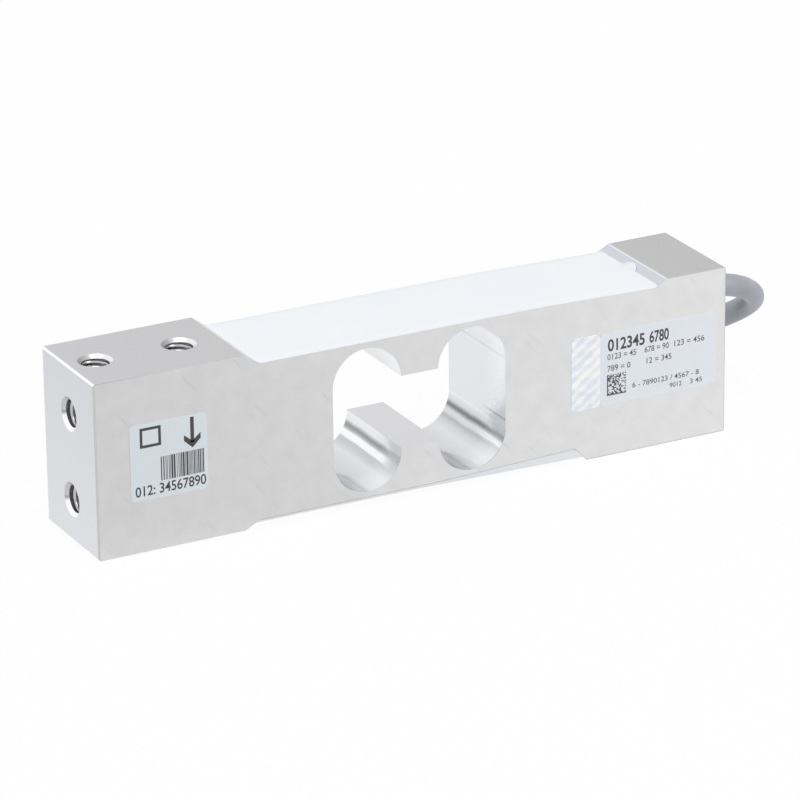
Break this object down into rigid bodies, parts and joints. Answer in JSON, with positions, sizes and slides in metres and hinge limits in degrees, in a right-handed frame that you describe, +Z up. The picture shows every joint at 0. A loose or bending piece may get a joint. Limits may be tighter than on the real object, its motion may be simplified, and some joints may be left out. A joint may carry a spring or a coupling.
{
  "type": "single-point load cell",
  "caption": "Single-point weighing load cell: a rectangular aluminium bending beam with a binocular window, potted gauge recesses, tapped mounting holes and a cable from one end.",
  "frame": {"origin": "below the middle of the block, at the height of its mounting face", "axes": "+X from the load end to the cable end, +Z up, the labelled front faces -Y"},
  "size_m": [0.1748, 0.0723, 0.0395],
  "materials": {
    "body_aluminium": "fine matte machined",
    "potting": "smooth cast",
    "board": "solder mask",
    "solder": "tinned",
    "resistor": "matte",
    "gauge_carrier": "thin film",
    "gauge_foil": "etched foil",
    "flex_film": "thin film with copper",
    "tie": "woven strap",
    "core_red": "insulation",
    "core_black": "insulation",
    "core_green": "insulation",
    "core_white": "insulation",
    "core_blue": "insulation",
    "core_brown": "insulation",
    "sleeve_steel": "crimped",
    "seal": "matte",
    "label": "printed film",
    "label_strip": "shimmering film",
    "cable_sheath": "satin jacket"
  },
  "bodies": {
    "root": {"spring_body": "body_aluminium", "top_potting": "potting", "bottom_potting": "potting", "terminal_board": "board", "solder_joints": "solder", "span_resistor": "resistor", "zero_resistor": "resistor", "input_resistor": "resistor", "gauge_carrier_top_load": "gauge_carrier", "gauge_carrier_top_fixed": "gauge_carrier", "gauge_carrier_bottom_load": "gauge_carrier", "gauge_carrier_bottom_fixed": "gauge_carrier", "gauge_foil_top_load": "gauge_foil", "gauge_foil_top_fixed": "gauge_foil", "gauge_foil_bottom_load": "gauge_foil", "gauge_foil_bottom_fixed": "gauge_foil", "flex_top": "flex_film", "flex_bottom": "flex_film", "inner_core_1": "core_red", "inner_core_2": "core_black", "inner_core_3": "core_green", "inner_core_4": "core_white", "inner_core_5": "core_blue", "inner_core_6": "core_brown", "cable_inner": "cable_sheath", "clamp_sleeve": "sleeve_steel", "cable_seal": "seal", "serial_label": "label", "rating_label": "label", "security_strip": "label_strip", "cable_jacket": "cable_sheath", "cable_hank": "cable_sheath", "hank_tie": "tie", "cable_tail": "cable_sheath", "lead_ends": "core_white", "lead_tips": "solder"}
  },
  "joints": []
}
